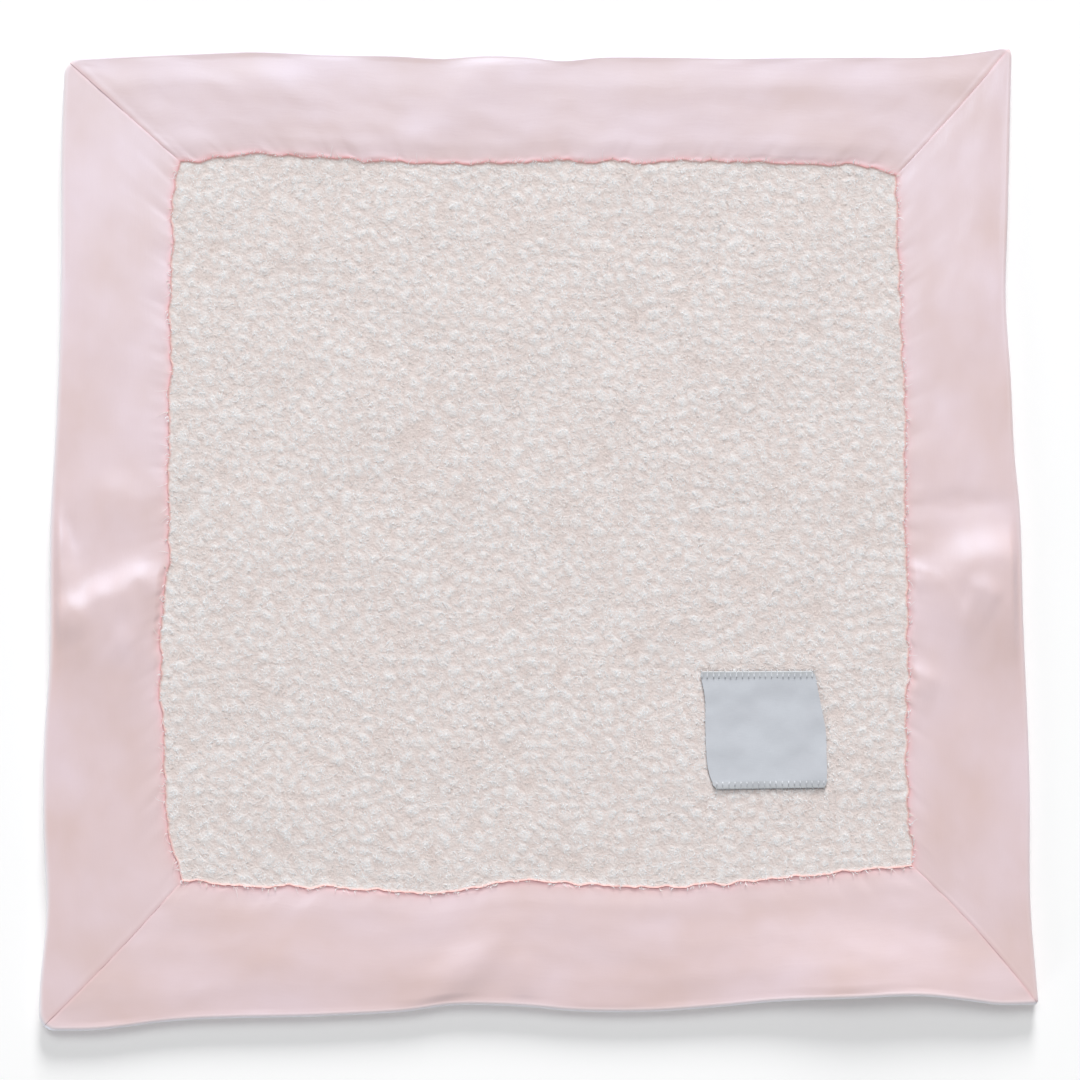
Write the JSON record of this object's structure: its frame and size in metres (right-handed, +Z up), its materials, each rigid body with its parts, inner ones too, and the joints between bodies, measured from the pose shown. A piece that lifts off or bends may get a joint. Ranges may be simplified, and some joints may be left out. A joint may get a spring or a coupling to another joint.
{
  "type": "comfort blanket",
  "caption": "Square comfort blanket lying face up: fleece centre panel framed by a mitred satin border, plain satin back and a small bare woven label.",
  "frame": {"origin": "the point on the ground under the middle of the blanket, which lies face up", "axes": "+Z up, square to the blanket; +Y towards its top edge and +X to its right, with the label at the lower right"},
  "size_m": [0.4105, 0.4133, 0.0072],
  "materials": {
    "border_satin": "pale pink satin with a soft sheen",
    "back_satin": "pale pink satin with a soft sheen",
    "sherpa_fleece": "matt cream curly pile",
    "seam_thread": "salmon pink sewing thread",
    "label_cloth": "blue-grey woven satin, bare",
    "label_thread": "pale grey sewing thread"
  },
  "bodies": {
    "root": {"back_panel": "back_satin", "sherpa_panel": "sherpa_fleece", "border_top": "border_satin", "border_right": "border_satin", "border_bottom": "border_satin", "border_left": "border_satin", "panel_seam_top": "seam_thread", "panel_seam_right": "seam_thread", "panel_seam_bottom": "seam_thread", "panel_seam_left": "seam_thread", "mitre_seam_top_left": "seam_thread", "mitre_seam_top_right": "seam_thread", "mitre_seam_bottom_right": "seam_thread", "mitre_seam_bottom_left": "seam_thread", "edge_seam_thread": "seam_thread", "closing_thread": "seam_thread", "label": "label_cloth", "label_stitches_top": "label_thread", "label_stitches_bottom": "label_thread"}
  },
  "joints": []
}
